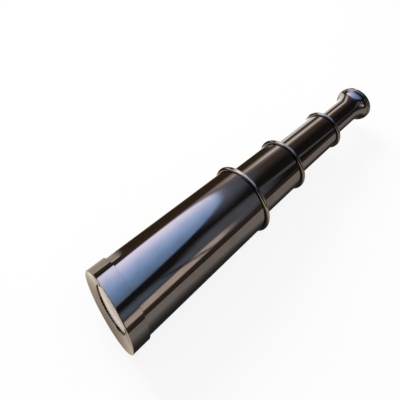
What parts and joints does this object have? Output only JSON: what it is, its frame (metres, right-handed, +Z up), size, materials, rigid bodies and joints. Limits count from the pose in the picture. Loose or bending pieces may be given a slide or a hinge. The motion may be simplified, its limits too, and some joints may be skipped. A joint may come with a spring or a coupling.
{
  "type": "spyglass",
  "caption": "Hand spyglass with nested draw tubes that slide and turn, beaded collars, a dished objective bezel and a flared eyecup.",
  "frame": {"origin": "On the surface the spyglass lies on, midway along its length and width with every draw pulled out", "axes": "+X runs along the optical axis from the objective to the eyepiece, +Y is across, +Z is up; the axis is 26.1 mm above the surface"},
  "size_m": [0.289, 0.0522, 0.0522],
  "materials": {
    "black_nickel": "brass with mirror-polished black nickel plating",
    "dark_brass": "turned brass, dark patina",
    "spring_brass": "hard-rolled brass sheet, satin",
    "matt_black_brass": "turned brass, matt black paint against glare",
    "black_aluminium": "turned aluminium, matt black anodised",
    "optical_glass": "polished clear glass"
  },
  "bodies": {
    "barrel": {"objective_bezel": "black_nickel", "objective_retaining_ring": "matt_black_brass", "objective_crown_lens": "optical_glass", "objective_spacer_ring": "matt_black_brass", "objective_flint_lens": "optical_glass", "objective_cell": "matt_black_brass", "main_barrel_tube": "black_nickel", "barrel_collar": "black_nickel"},
    "barrel_sleeve": {"barrel_guide_sleeve": "spring_brass"},
    "draw_1": {"draw_tube_1": "black_nickel", "draw_1_stop_ring": "dark_brass", "draw_1_collar": "black_nickel"},
    "draw_1_sleeve": {"draw_1_guide_sleeve": "spring_brass"},
    "draw_2": {"draw_tube_2": "black_nickel", "draw_2_stop_ring": "dark_brass", "draw_2_collar": "black_nickel"},
    "draw_2_sleeve": {"draw_2_guide_sleeve": "spring_brass"},
    "draw_3": {"draw_tube_3": "black_nickel", "draw_3_stop_ring": "dark_brass", "erector_tube": "black_aluminium", "erector_front_lens": "optical_glass", "erector_rear_lens": "optical_glass", "erector_front_retainer": "black_aluminium", "erector_rear_retainer": "black_aluminium", "erector_stop": "black_aluminium", "eyecup": "black_nickel", "eyepiece_cell": "black_aluminium", "field_lens": "optical_glass", "field_stop": "black_aluminium", "eyepiece_spacer": "black_aluminium", "eye_lens": "optical_glass", "eyepiece_retaining_ring": "black_aluminium"}
  },
  "joints": [
    {"name": "draw_1_turn", "type": "hinge", "parent": "barrel", "child": "barrel_sleeve", "pos_m": [0, 0, 0.0261], "axis": [1, 0, 0], "continuous": true},
    {"name": "draw_1_slide", "type": "slide", "parent": "barrel_sleeve", "child": "draw_1", "axis": [1, 0, 0], "range_m": [-0.0447, 0]},
    {"name": "draw_2_turn", "type": "hinge", "parent": "draw_1", "child": "draw_1_sleeve", "pos_m": [0, 0, 0.0261], "axis": [1, 0, 0], "continuous": true},
    {"name": "draw_2_slide", "type": "slide", "parent": "draw_1_sleeve", "child": "draw_2", "axis": [1, 0, 0], "range_m": [-0.0577, 0]},
    {"name": "draw_3_turn", "type": "hinge", "parent": "draw_2", "child": "draw_2_sleeve", "pos_m": [0, 0, 0.0261], "axis": [1, 0, 0], "continuous": true},
    {"name": "draw_3_slide", "type": "slide", "parent": "draw_2_sleeve", "child": "draw_3", "axis": [1, 0, 0], "range_m": [-0.037, 0]}
  ]
}
